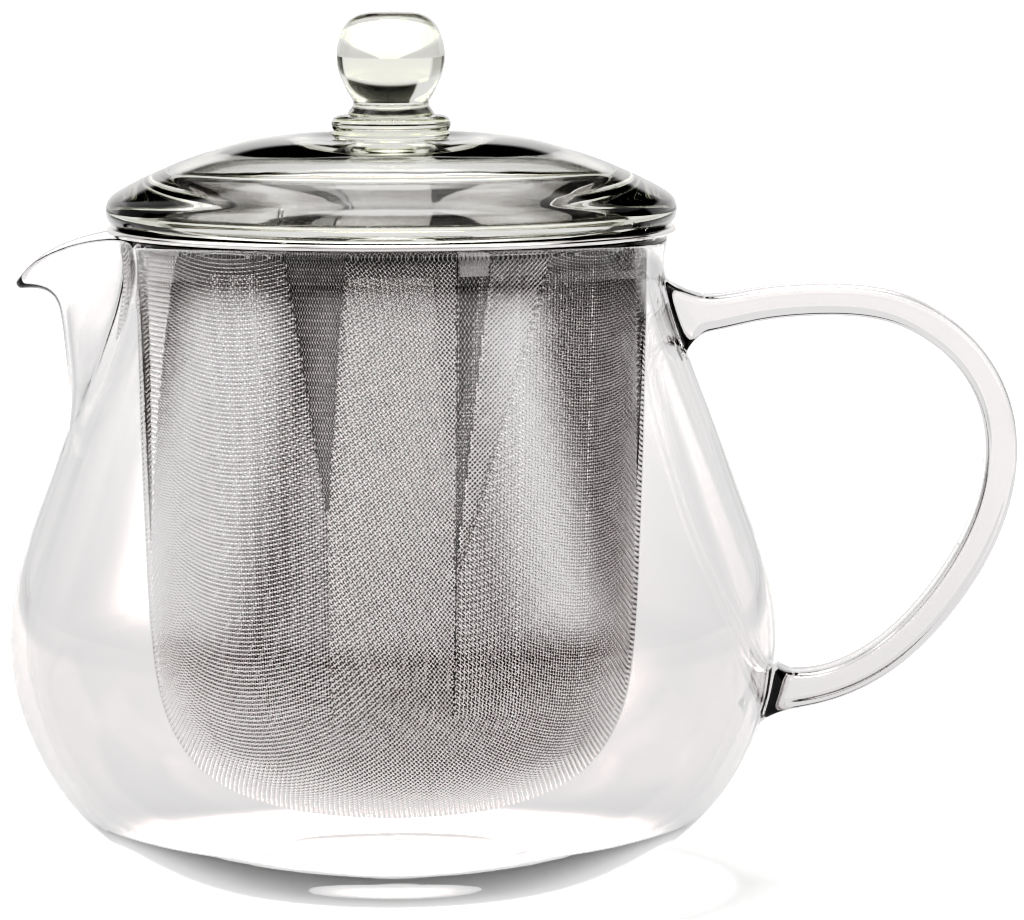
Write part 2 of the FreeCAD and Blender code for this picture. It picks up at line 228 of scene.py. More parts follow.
def glass(name, tint, density, wave, wave_scale, film):
    """Clear glass: wavy as worked glass is, coloured by its thickness, a dried film low down."""
    mat = bpy.data.materials.new(name)
    nt, nodes, links = node_tree(mat)
    out = nodes.new("ShaderNodeOutputMaterial")
    p = nodes.new("ShaderNodeBsdfPrincipled")
    height = object_place(nt).outputs["Z"]
    dried = map_range(nt, height, FILM_FULL_Z, FILM_END_Z, 1.0, 0.0, "SMOOTHSTEP")
    veil = nodes.new("ShaderNodeMix")
    veil.data_type = "RGBA"
    veil.inputs["A"].default_value = (1, 1, 1, 1)
    veil.inputs["B"].default_value = (*film, 1)
    links.new(dried, veil.inputs["Factor"])
    links.new(veil.outputs["Result"], p.inputs["Base Color"])
    p.inputs["Transmission Weight"].default_value = 1.0
    p.inputs["IOR"].default_value = GLASS_IOR
    p.inputs["Roughness"].default_value = 0.0
    bump = nodes.new("ShaderNodeBump")
    bump.inputs["Strength"].default_value = 1.0
    bump.inputs["Distance"].default_value = wave * MM
    tex = noise(nt, wave_scale, 2.0, 0.45)
    links.new(tex.outputs["Fac"], bump.inputs["Height"])
    links.new(bump.outputs["Normal"], p.inputs["Normal"])
    vol = nodes.new("ShaderNodeVolumeAbsorption")
    vol.inputs["Color"].default_value = (*tint, 1)
    vol.inputs["Density"].default_value = density
    links.new(p.outputs["BSDF"], out.inputs["Surface"])
    links.new(vol.outputs["Volume"], out.inputs["Volume"])
    return mat


def steel(name, low, high, rough_lo, rough_hi, scale):
    """Stainless steel: colour and roughness drift with a fine grain."""
    mat = bpy.data.materials.new(name)
    nt, nodes, links = node_tree(mat)
    out = nodes.new("ShaderNodeOutputMaterial")
    p = nodes.new("ShaderNodeBsdfPrincipled")
    p.inputs["Metallic"].default_value = 1.0
    tex = noise(nt, scale, 5.0, 0.6)
    ramp = nodes.new("ShaderNodeValToRGB")
    ramp.color_ramp.elements[0].position = 0.3
    ramp.color_ramp.elements[1].position = 0.7
    ramp.color_ramp.elements[0].color = (*low, 1)
    ramp.color_ramp.elements[1].color = (*high, 1)
    links.new(tex.outputs["Fac"], ramp.inputs["Fac"])
    links.new(ramp.outputs["Color"], p.inputs["Base Color"])
    links.new(map_range(nt, tex.outputs["Fac"], 0.3, 0.7, rough_lo, rough_hi), p.inputs["Roughness"])
    links.new(p.outputs["BSDF"], out.inputs["Surface"])
    return mat


POT_GLASS = glass("pot_glass", (0.63, 0.600, 0.60), 50.0, 0.010, 55.0, (0.92, 0.910, 0.908))
LID_GLASS = glass("lid_glass", (0.80, 0.82, 0.56), 20.0, 0.020, 70.0, (0.93, 0.918, 0.915))
RING_STEEL = steel("ring_steel", (0.74, 0.72, 0.71), (0.84, 0.82, 0.80), 0.05, 0.14, 260.0)
BAND_STEEL = steel("band_steel", (0.34, 0.33, 0.33), (0.46, 0.45, 0.45), 0.14, 0.30, 300.0)
WIRE_STEEL = steel("wire_steel", (0.80, 0.78, 0.78), (0.93, 0.91, 0.91), 0.12, 0.26, 500.0)


def paint_weave_shade(mat):
    """Painted shade on the cloth: shade colour in the hollows between the wire crests, on the inner
    side low in the cup, and a little on the crests under the rim.
    """
    nt = mat.node_tree
    p = nt.nodes["Principled BSDF"]
    colour = p.inputs["Base Color"].links[0].from_socket
    crest = nt.nodes.new("ShaderNodeAttribute")
    crest.attribute_name = "crest"
    height = object_place(nt).outputs["Z"]
    # painted shade by crest height: steel colour on the outer crests, shade colour in the hollows
    lit_crest = map_range(nt, crest.outputs["Fac"], -0.2, 1.0, 0.0, 1.0)
    # painted shade on the crests near the top, under the rim
    rim = map_range(nt, height, *TOP_SHADE_Z, 1.0, 0.7, "SMOOTHSTEP")
    # painted shade on the inner side, low in the cup
    inner = map_range(nt, crest.outputs["Fac"], -0.9, 0.0, 1.0, 0.0)
    above = map_range(nt, height, *LIT_INSIDE_Z, 0.0, 1.0, "SMOOTHSTEP")
    outside = maths(nt, "MULTIPLY", lit_crest, rim)
    inside = maths(nt, "MULTIPLY", inner, above)
    mix = nt.nodes.new("ShaderNodeMix")
    mix.data_type = "RGBA"
    nt.links.new(maths(nt, "MAXIMUM", outside, inside), mix.inputs["Factor"])
    mix.inputs["A"].default_value = SHADE_COLOUR
    nt.links.new(colour, mix.inputs["B"])
    nt.links.new(mix.outputs["Result"], p.inputs["Base Color"])


# painted shade on the wires
paint_weave_shade(WIRE_STEEL)


# ------------------------------------------------------------------ pot and handle
def pull(theta):
    """How far the spout draws the mouth out at a bearing: 0 off the spout, 1 at its middle."""
    half = math.radians(SPOUT_HALF_DEG)
    d = np.abs(np.abs(theta) - math.pi)
    w = (0.5 + 0.5 * np.cos(math.pi * np.minimum(d, half) / half)) ** 1.15
    return np.where(d < half, w, 0.0)


neck = spline(BELLY[-3:] + NECK, 4000)
neck = neck[np.argmax(neck[:, 1] >= SPOUT_START_Z):]
neck_s = lengths(neck) / lengths(neck)[-1]
beak = spline(BELLY[-3:] + SPOUT, 4000)
beak = beak[np.argmax(beak[:, 1] >= SPOUT_START_Z):]
beak_s = lengths(beak) / lengths(beak)[-1]


def skin(theta, s):
    """Outer face above the belly, from s = 0 at the spout's root to 1 at the lip."""
    w = pull(theta)
    g = 0.72 * w * w + 0.28 * w**10
    rn, zn = np.interp(s, neck_s, neck[:, 0]), np.interp(s, neck_s, neck[:, 1])
    rs, zs = np.interp(s, beak_s, beak[:, 0]), np.interp(s, beak_s, beak[:, 1])
    r = rn + (rs - rn) * w
    z = zn + (zs - zn) * g
    return np.stack([r * np.cos(theta), r * np.sin(theta), z], -1)


def unit(v):
    return v / np.linalg.norm(v, axis=-1, keepdims=True)


def skin_frame(theta, s):
    """Point, outward normal and upward direction on the outer face."""
    p = skin(theta, s)
    lo = max(s - 0.02, 0.0)
    up = unit(skin(theta, min(lo + 0.02, 1.0)) - skin(theta, lo))
    around = unit(skin(theta + 0.004, s) - skin(theta - 0.004, s))
    return p, unit(np.cross(around, up)), up


def wall_at(z):
    """Glass thickness by height."""
    low = WALL_BELLY + (WALL_BOTTOM - WALL_BELLY) * (1.0 - np.clip(z, 0, 12) / 12.0)
    high = WALL_BELLY + (WALL_LIP - WALL_BELLY) * np.clip((z - 60.0) / 40.0, 0, 1)
    return np.where(z < 12.0, low, high)


HOLE_DEG, HOLE_COLS, HOLE_ROWS = 7.6, 14, 12
UPPER_HOLE, LOWER_HOLE = (91.2, 104.4), (28.4, 38.9)
side = np.r_[
    np.linspace(0, HOLE_DEG, HOLE_COLS // 2 + 1)[1:],
    np.linspace(HOLE_DEG, 157.0, 70)[1:],
    np.linspace(157.0, 180.0, 34)[1:-1],
]
THETA = np.radians(np.r_[-180.0, -side[::-1], 0.0, side])
COLS = len(THETA)

belly = spline(BELLY + NECK[:3], 6000)
foot_up = belly[belly[:, 1] < SPOUT_START_Z - 0.6]
foot_len = lengths(foot_up)


def z_steps(marks, counts):
    """Heights that divide each stretch between marks into its count of steps."""
    out = [np.linspace(a, b, n + 1)[:-1] for a, b, n in zip(marks[:-1], marks[1:], counts)]
    return np.concatenate(out)


def round_row(r, z):
    return np.stack([r * np.cos(THETA), r * np.sin(THETA), np.full(COLS, z)], -1)


outer_rows, inner_rows = [], []
# belly rows: even along the outline up to the lower fusing zone, then by height
start = foot_len[np.argmax(foot_up[:, 1] >= LOWER_HOLE[0])]
marks = [np.interp(v, foot_len, foot_up[:, 1]) for v in np.linspace(0, start, 34)[:-1]]
heights = np.r_[
    marks,
    z_steps([*LOWER_HOLE, SPOUT_START_Z - 1.2], [HOLE_ROWS, 26]),
]
lower_r0 = len(marks)
for z in heights:
    r = np.interp(z, foot_up[:, 1], foot_up[:, 0])
    ra, rb = (np.interp(z + d, foot_up[:, 1], foot_up[:, 0]) for d in (-0.05, 0.05))
    za, zb = max(z - 0.05, 0.0), z + 0.05
    n = math.hypot(rb - ra, zb - za)
    t = float(wall_at(np.array(z)))
    outer_rows.append(round_row(r, z))
    inner_rows.append((r - t * (zb - za) / n, z + t * (rb - ra) / n))
shares = [
    float(np.interp(z, neck[:, 1], neck_s))
    for z in z_steps([SPOUT_START_Z + 0.4, *UPPER_HOLE, LIP_TOP_Z - 1.38], [14, HOLE_ROWS, 10])
] + [1.0]
upper_r0 = len(outer_rows) + 14
inner_upper = []
for s in shares:
    p, n, up = skin_frame(THETA, s)
    t = wall_at(p[:, 2]) * (1.0 - 0.2 * pull(THETA))
    outer_rows.append(p)
    inner_upper.append(p - n * t[:, None])
lip_rows = []
p, n, up = skin_frame(THETA, 1.0)
t = (wall_at(p[:, 2]) * (1.0 - 0.2 * pull(THETA)) / 2)[:, None]
for deg in np.linspace(0, 180, 13)[1:-1]:
    f = math.radians(deg)
    lip_rows.append(p - n * t + n * t * math.cos(f) + up * t * math.sin(f))
foot_rows = [round_row(FOOT_R * f, 0.0) for f in (0.12, 0.3, 0.5, 0.7, 0.86, 0.95)]
floor_rows = [(FOOT_R * f, WALL_BOTTOM + 0.35 * f**4) for f in (1.0, 0.85, 0.65, 0.45, 0.25, 0.1)]
inner_low = [(r, z) for r, z in inner_rows if r > FOOT_R + 1.0]
rows = (
    foot_rows
    + outer_rows
    + lip_rows
    + inner_upper[::-1]
    + [round_row(r, z) for r, z in inner_low[::-1] + floor_rows]
)
grid = np.array(rows)
lower_r0 += len(foot_rows)
upper_r0 += len(foot_rows)
verts = [v for row in grid for v in row]
c0 = int(np.argmin(np.abs(THETA + math.radians(HOLE_DEG))))
c1 = c0 + HOLE_COLS
faces = []
for i in range(len(grid) - 1):
    in_hole = lower_r0 <= i < lower_r0 + HOLE_ROWS or upper_r0 <= i < upper_r0 + HOLE_ROWS
    for j in range(COLS):
        if in_hole and c0 <= j < c1:
            continue
        k = (j + 1) % COLS
        faces.append((i * COLS + j, i * COLS + k, (i + 1) * COLS + k, (i + 1) * COLS + j))
for ring, z in ((0, 0.0), (len(grid) - 1, WALL_BOTTOM)):
    c = len(verts)
    verts.append((0.0, 0.0, z))
    for j in range(COLS):
        faces.append((c, ring * COLS + j, ring * COLS + (j + 1) % COLS))


def hole_loop(r0, flip):
    """Vertex numbers round an opening that the handle fuses to."""
    lo, hi = (r0 + HOLE_ROWS, r0) if flip else (r0, r0 + HOLE_ROWS)
    step = 1 if hi > lo else -1
    loop = [(lo, c) for c in range(c0, c1)]
    loop += [(r, c1) for r in range(lo, hi, step)]
    loop += [(hi, c) for c in range(c1, c0, -1)]
    loop += [(r, c0) for r in range(hi, lo, -step)]
    return [r * COLS + c for r, c in loop]


def strap_loop(centre, tangent, thick, width):
    """Rounded rectangle across the handle, its points in step with the hole's edge."""
    normal = np.array([-tangent[2], 0.0, tangent[0]])
    a, b = HOLE_COLS, HOLE_ROWS
    uv = [(-1.0, -1.0 + 2.0 * k / a) for k in range(a)]
    uv += [(-1.0 + 2.0 * k / b, 1.0) for k in range(b)]
    uv += [(1.0, 1.0 - 2.0 * k / a) for k in range(a)]
    uv += [(1.0 - 2.0 * k / b, -1.0) for k in range(b)]
    p = np.array(uv) * (thick / 2, width / 2)
    corner = np.array(STRAP_CORNER)
    core = (thick / 2, width / 2) - corner
    inside = np.clip(p, -core, core)
    d = (p - inside) / corner
    d /= np.maximum(np.linalg.norm(d, axis=1, keepdims=True), 1e-9)
    p = inside + d * corner
    return centre + p[:, :1] * normal + p[:, 1:] * np.array([0.0, 1.0, 0.0])


path2 = spline(HANDLE_PATH, 6000)
path_len = lengths(path2)
wall_start = path_len[np.argmax(path2[:, 0] > 53.4)]
wall_end = path_len[len(path2) - 1 - np.argmax(path2[::-1, 0] > 68.6)]
stations = np.linspace(wall_start, wall_end, 96)
sections = []
for v in stations:
    x, z = (np.interp(v, path_len, path2[:, k]) for k in (0, 1))
    xb, zb = (np.interp(v + 0.4, path_len, path2[:, k]) for k in (0, 1))
    tan = unit(np.array([xb - x, 0.0, zb - z]))
    ends = math.exp(-(v - wall_start) / 3.5) + math.exp(-(wall_end - v) / 3.5)
    thick, width = STRAP_T + 0.8 * ends, STRAP_W + 0.5 * ends
    sections.append((strap_loop(np.array([x, 0.0, z]), tan, thick, width), tan))


def fuse(loop_ids, section, tangent, count=12):
    """Rows that flow from the pot's skin into the strap, as melted glass does."""
    p0 = np.array([verts[i] for i in loop_ids])
    radial = unit(p0 * (1, 1, 0))
    gap = section - p0
    m0 = gap - radial * np.sum(gap * radial, axis=1, keepdims=True)
    m0 = m0 * 1.25 + radial * 0.6
    m1 = tangent * 4.0
    out = []
    for t in np.linspace(0, 1, count + 1)[1:-1]:
        h00, h10 = 2 * t**3 - 3 * t**2 + 1, t**3 - 2 * t**2 + t
        h01, h11 = -2 * t**3 + 3 * t**2, t**3 - t**2
        out.append(h00 * p0 + h10 * m0 + h01 * section + h11 * m1)
    return out


start_loop, end_loop = hole_loop(upper_r0, False), hole_loop(lower_r0, True)
strip = fuse(start_loop, sections[0][0], sections[0][1])
strip += [s for s, tan in sections]
strip += fuse(end_loop, sections[-1][0], -sections[-1][1])[::-1]
previous = start_loop
count = len(start_loop)
for row in strip:
    ids = list(range(len(verts), len(verts) + count))
    verts.extend(row)
    for k in range(count):
        n = (k + 1) % count
        faces.append((previous[k], previous[n], ids[n], ids[k]))
    previous = ids
for k in range(count):
    n = (k + 1) % count
    faces.append((previous[k], previous[n], end_loop[n], end_loop[k]))

pot = make_object("pot_and_handle", verts, faces, POT_GLASS)
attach(pot, "pot")
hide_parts("pot_body", "handle")

# ------------------------------------------------------------------ lid, collar and knob
seat = RING_TOP
dome = [
    (48.35, seat + 3.0), (47.9, seat + 4.4), (46.2, seat + 5.9), (42.9, seat + 7.7),
    (39.2, seat + 9.4), (35.3, seat + 11.0), (30.0, seat + 12.8), (25.0, seat + 14.2),
    (19.5, seat + 15.1), (14.5, seat + 15.1), (11.5, seat + 14.6), (9.35, 127.25),
]
collar = [
    (9.35, 127.25), (9.75, 127.75), (9.9, 128.5), (9.75, 128.95), (10.0, 129.4), (10.1, 130.1),
    (9.85, 130.8), (9.1, 131.3), (8.1, 131.5), (7.4, 131.55),
]
ball = [
    (7.4, 131.55), (7.05, 132.2), (6.5, 133.0), (6.35, 133.5), (6.75, 134.4), (7.6, 135.9),
    (8.45, 137.7), (9.0, 139.6), (9.15, 141.2), (9.05, 142.8), (8.7, 144.3), (7.95, 146.2),
    (6.8, 147.6), (5.3, 148.45), (3.4, 148.8), (0.0, 148.9),
]
under = [
    (39.7, seat + 3.4), (38.6, seat + 6.0), (35.2, seat + 8.2), (30.0, seat + 10.1),
    (24.5, seat + 11.5), (17.0, seat + 12.4), (9.0, seat + 12.5), (0.0, seat + 12.5),
]
skirt_low = seat - 5.0
profile = list(spline(under[::-1], 60))
profile[0] = (0.0, seat + 12.5)
profile += [(39.7, skirt_low + 0.9 + (seat + 2.5 - skirt_low) * f) for f in (0.75, 0.5, 0.25, 0.0)]
profile += arc_points(40.6, skirt_low + 0.9, 0.9, 180, 360, 11)[1:]
profile += [(41.5, z) for z in np.linspace(skirt_low + 2.0, seat - 0.5, 4)]
profile += arc_points(42.0, seat - 0.5, 0.5, 180, 90, 4)[1:]
profile += [(43.5, seat), (45.0, seat)]
rim = [
    (45.6, seat), (46.9, seat + 0.25), (47.9, seat + 1.1), (48.3, seat + 2.2), (48.35, seat + 3.0),
]
profile += list(spline(rim, 12))
profile += list(spline(dome, 90))[1:]
profile += list(spline(collar, 34))[1:]
profile += list(spline(ball, 60))[1:]
profile[-1] = (0.0, 148.9)
lid_verts, lid_faces = lathe(profile, 200)

# air bubbles in the rim: where, and their radius
BUBBLES = (((-16.8, -39.6, 116.3), 0.5), ((40.5, -14.4, 116.4), 0.4), ((-19.6, -38.2, 114.3), 0.42))
for at, radius in BUBBLES:
    base = len(lid_verts)
    ring = [(0.0, -1.0)] + [(math.cos(a), math.sin(a)) for a in np.radians((-60, -30, 0, 30, 60))]
    bv, bf = lathe(ring + [(0.0, 1.0)], 14)
    lid_verts.extend(tuple(v) for v in np.array(bv) * radius + at)
    lid_faces.extend(tuple(base + i for i in f) for f in bf)

lid = make_object("lid_and_knob", lid_verts, lid_faces, LID_GLASS)
bm = bmesh.new()
bm.from_mesh(lid.data)
hollow = [
    f for f in bm.faces
    for at, radius in BUBBLES
    if (f.calc_center_median() - Vector(at) * MM).length < radius * MM * 1.05
]
bmesh.ops.reverse_faces(bm, faces=hollow)   # air inside glass
bm.to_mesh(lid.data)
bm.free()
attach(lid, "lid")
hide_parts("lid_shell", "knob_collar", "knob")

# ------------------------------------------------------------------ strainer ring and band
half = RING_H / 2
edge = RING_OUT_R - half
ring_profile = [(43.8, RING_TOP), (45.5, RING_TOP), (edge, RING_TOP)]
ring_profile += arc_points(edge, LIP_TOP_Z + half, half, 90, -90, 15)[1:]
ring_profile += [
    (45.5, LIP_TOP_Z), (44.6, LIP_TOP_Z), (44.6, LIP_TOP_Z + SHEET), (edge, LIP_TOP_Z + SHEET),
]
ring_profile += arc_points(edge, LIP_TOP_Z + half, half - SHEET, -90, 90, 7)[1:]
ring_profile += [(43.8, RING_TOP - SHEET), (43.8, RING_TOP)]
rv, rf = lathe(ring_profile, 320)
ring = make_object("strainer_rim", rv, rf, RING_STEEL)
low = RING_TOP - BAND_DEPTH
band_profile = [(43.8, RING_TOP), (43.0, RING_TOP)]
band_profile += arc_points(43.0, RING_TOP - 0.7, 0.7, 90, 180, 7)[1:]
band_profile += [
    (BAND_IN_R, low + 0.15), (BAND_IN_R + 0.1, low), (BAND_IN_R + 0.3, low),
    (BAND_IN_R + SHEET, low + 0.15),
]
band_profile += arc_points(43.0, RING_TOP - 0.7, 0.3, 180, 90, 5)
band_profile += [(43.8, RING_TOP - SHEET), (43.8, RING_TOP)]
bv, bf = lathe(band_profile, 256)
band = make_object("strainer_inner_band", bv, bf, BAND_STEEL)
for ob, node, slot in ((ring, "strainer_ring", "ring_steel"), (band, "strainer_band", "band_steel")):
    ob.data.set_sharp_from_angle(angle=math.radians(40))
    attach(ob, "strainer")
    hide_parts(node)

# ------------------------------------------------------------------ woven cup
ROW, COLUMN = 0.70, 0.54  # the cloth's two wire spacings
WIRE_R = 0.17
MAIN_DEG = 52.0         # bearing of the wires' own direction, from the front, towards the handle
cup = spline(CUP, 3000)
FLANGE_Z = LIP_TOP_Z + SHEET
cup_end = cup[-1]
turn = arc_points(cup_end[0] + 1.3, FLANGE_Z + 0.2 - 1.3, 1.3, 180, 90, 12)
lead = np.array([(cup_end[0], z) for z in np.linspace(108.0, FLANGE_Z + 0.2 - 1.3, 12)])
cup = np.vstack([cup, lead[1:], turn, [(46.6, FLANGE_Z + 0.2)]])
cup[:, 0] = np.maximum(cup[:, 0] - 0.25 * np.minimum(cup[:, 0] / 8.0, 1.0), 0.0)
cup_s = lengths(cup)
S_TOP = cup_s[-1]
EDGE_S = 50.0           # where the bottom has turned up into the side
CUP_R = 42.5
# panels of the side, each a flat strip of cloth: axis, first and last bearing (degrees)
PANELS = ((0.0, -37.0, 24.5), (45.0, 24.5, 53.0))
# pleats between them: bearing, where they start, how far they open each way at the top
PLEATS = ((24.5, 84.0, -9.0, 4.5), (53.0, 74.0, 1.0, 23.0))
PLEAT_TOP = 128.0


def pleat_edges(pleat, s):
    """Left and right bearings of a pleat's gap, and how open it is from 0 to 1."""
    at, start, left, right = pleat
    t = np.clip((s - start) / (PLEAT_TOP - start), 0, 1)
    return at + left * t, at + right * t, t


def cloth(x, y):
    """Flat cloth point to cup: bearing and distance along the cup, and whether it shows."""
    rho, phi = np.hypot(x, y), np.arctan2(y, x)
    theta, s, shows = phi.copy(), rho.copy(), rho <= EDGE_S
    for quarter in range(4):
        for axis, first, last in PANELS:
            turn = math.radians(axis + 90 * quarter)
            p, q = rho * np.cos(phi - turn), rho * np.sin(phi - turn)
            lo, hi = (EDGE_S * math.sin(math.radians(v - axis)) for v in (first, last))
            m = (rho > EDGE_S) & (p > 0) & (q > lo - 0.25) & (q < hi + 0.25)
            theta[m] = turn + np.arcsin(q[m] / EDGE_S)
            s[m] = EDGE_S + p[m] - np.sqrt(EDGE_S**2 - q[m] ** 2)
            shows |= m
    around = np.degrees(theta)
    for pleat in PLEATS:
        left, right, t = pleat_edges(pleat, s)
        place = (around - pleat[0] + 45) % 90 - 45 + pleat[0]
        shows &= ~((place > left) & (place < right))
    return theta, s, shows


half_a, half_b = int(S_TOP / ROW) + 2, int(S_TOP / COLUMN) + 2
ii, jj = np.meshgrid(np.arange(-half_b, half_b + 1), np.arange(-half_a, half_a + 1), indexing="ij")
gx = (ii + 0.5) * COLUMN + rng.normal(0, 0.018, ii.shape)
gy = (jj + 0.5) * ROW + rng.normal(0, 0.018, ii.shape)
theta, s, shows = cloth(gx, gy)
shows &= s <= S_TOP


def on_cup(theta, s, lift=0.0):
    """Point on the cup; lift is outward."""
    r, z = np.interp(s, cup_s, cup[:, 0]), np.interp(s, cup_s, cup[:, 1])
    ra, rb = (np.interp(s + d, cup_s, cup[:, 0]) for d in (-0.3, 0.3))
    za, zb = (np.interp(s + d, cup_s, cup[:, 1]) for d in (-0.3, 0.3))
    n = np.maximum(np.hypot(rb - ra, zb - za), 1e-9)
    nr, nz = (zb - za) / n, -(rb - ra) / n
    bearing = theta + math.radians(MAIN_DEG) - math.pi / 2
    c, d = np.cos(bearing), np.sin(bearing)
    p = np.stack([(r + lift * nr) * c, (r + lift * nr) * d, z + lift * nz], -1)
    return p, np.stack([nr * c, nr * d, nz], -1)


def weave(theta, s, shows, parity, lift=0.0, light_shade_offset=0.0):
    """Tubes along both wire directions through a grid of crossings; the offset paints shade on
    hidden layers and light on a front one.
    """
    p, n = on_cup(theta, s, lift)
    bend = np.where(parity % 2 == 0, 1.0, -1.0)[..., None] * WIRE_R * 0.92
    parts = []
    for axis, sign in ((0, 1.0), (1, -1.0)):
        q = p + n * bend * sign
        ahead = np.roll(q, -1, axis)
        ok_ahead = shows & np.roll(shows, -1, axis)
        last = [slice(None)] * 2
        last[axis] = -1
        ok_ahead[tuple(last)] = False
        gap = np.linalg.norm(ahead - q, axis=-1)
        ok_ahead &= gap < 2.2
        behind = np.roll(q, 1, axis)
        ok_behind = np.roll(ok_ahead, 1, axis)
        along = np.where(ok_ahead[..., None], ahead - q, 0)
        along = along + np.where(ok_behind[..., None], q - behind, 0)
        along /= np.maximum(np.linalg.norm(along, axis=-1, keepdims=True), 1e-9)
        across = np.cross(along, n)
        across /= np.maximum(np.linalg.norm(across, axis=-1, keepdims=True), 1e-9)
        upward = np.cross(across, along)
        side_r, up_r = across * WIRE_R, upward * WIRE_R
        ringv = np.stack([q + side_r, q + up_r, q - side_r, q - up_r], 2)
        used = ok_ahead | ok_behind
        number = np.full(shows.shape, -1)
        number[used] = np.arange(int(used.sum()))
        a = number[ok_ahead]
        b = np.roll(number, -1, axis)[ok_ahead]
        quads = []
        for k in range(4):
            m = (k + 1) % 4
            quads.append(np.stack([a * 4 + k, a * 4 + m, b * 4 + m, b * 4 + k], 1))
        middle = p[ok_ahead]
        wave = np.where(parity % 2 == 0, 0.92, -0.92)[used][:, None]
        # crest level shifted by the layer's painted light and shade
        level = wave * sign + (0.0, 1.0, 0.0, -1.0) + light_shade_offset
        level = np.maximum(level, -0.15) if light_shade_offset < 0 else level
        parts.append((ringv[used].reshape(-1, 3), np.stack(quads, 1), middle, level.ravel()))
    return parts


def fast_mesh(name, verts, quads, levels, material):
    """Object from arrays, with how far each vertex stands proud of the cloth, shifted by its layer's
    painted light and shade, as 'crest'.
    """
    mesh = bpy.data.meshes.new(name)
    mesh.vertices.add(len(verts))
    mesh.vertices.foreach_set("co", (verts * MM).ravel())
    mesh.loops.add(quads.size)
    mesh.loops.foreach_set("vertex_index", quads.ravel())
    mesh.polygons.add(len(quads))
    mesh.polygons.foreach_set("loop_start", np.arange(0, quads.size, 4))
    mesh.polygons.foreach_set("use_smooth", np.ones(len(quads), bool))
    mesh.update(calc_edges=True)
    crest = mesh.attributes.new("crest", "FLOAT", "POINT")
    crest.data.foreach_set("value", levels.astype(np.float32))
    mesh.materials.append(material)
    ob = bpy.data.objects.new(name, mesh)
    bpy.context.scene.collection.objects.link(ob)
    return ob


SECTORS = 18            # the cloth is cut into this many objects round the axis
bundles = [weave(theta, s, shows, ii + jj)]
# the cloth folded away in each pleat: slanting layers behind the gap between two panels
ki, kj = np.meshgrid(np.arange(-80, 81), np.arange(-80, 81), indexing="ij")
# per pleat, its two layers: lean of the wires (degrees), spacing and depth behind the panels
LAYERS = (
    ((20.0, 0.66, -0.55), (38.0, 0.70, -1.0)),
    ((45.0, 0.62, -0.45), (30.0, 0.70, -1.1)),
)
for pleat, layers in zip(PLEATS, LAYERS):
    for lean, step, lift in layers:
        lean = math.radians(lean)
        u = (ki - kj) * step * math.sin(lean) + rng.normal(0, 0.018, ki.shape)
        v = 104.0 + (ki + kj) * step * math.cos(lean) + rng.normal(0, 0.018, ki.shape)
        left, right, t = pleat_edges(pleat, v)
        place = pleat[0] + 7.0 + np.degrees(u / CUP_R)
        front = pleat is PLEATS[1] and lift > -0.5
        slit = 7.0 * t if front else -0.8
        # painted light on the second pleat's front layer, painted shade on the layers behind
        light_shade_offset = 0.3 if front else -0.75
        depth = lift * np.clip((134.0 - v) / 20.0, 0.15, 1.0)
        inside = (place > left + slit) & (place < right + 1.2) & (v > pleat[1]) & (v < S_TOP - 4.0)
        for quarter in range(4):
            bundles.append(weave(np.radians(place + 90 * quarter), v, inside, ki + kj, depth, light_shade_offset))
for sector in range(SECTORS):
    all_v, all_q, all_c, base = [], [], [], 0
    for bundle in bundles:
        for ring_v, quads, middle, level in bundle:
            bearing = (np.arctan2(middle[:, 1], middle[:, 0]) / (2 * math.pi)) % 1.0
            pick = (bearing * SECTORS).astype(int) == sector
            chosen = quads[pick].reshape(-1, 4)
            ids, back = np.unique(chosen, return_inverse=True)
            all_v.append(ring_v[ids])
            all_c.append(level[ids])
            all_q.append(back.reshape(-1, 4) + base)
            base += len(ids)
    name = f"strainer_wires_{sector + 1:02d}"
    ob = fast_mesh(name, np.vstack(all_v), np.vstack(all_q), np.concatenate(all_c), WIRE_STEEL)
    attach(ob, "strainer")
    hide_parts("strainer_mesh")

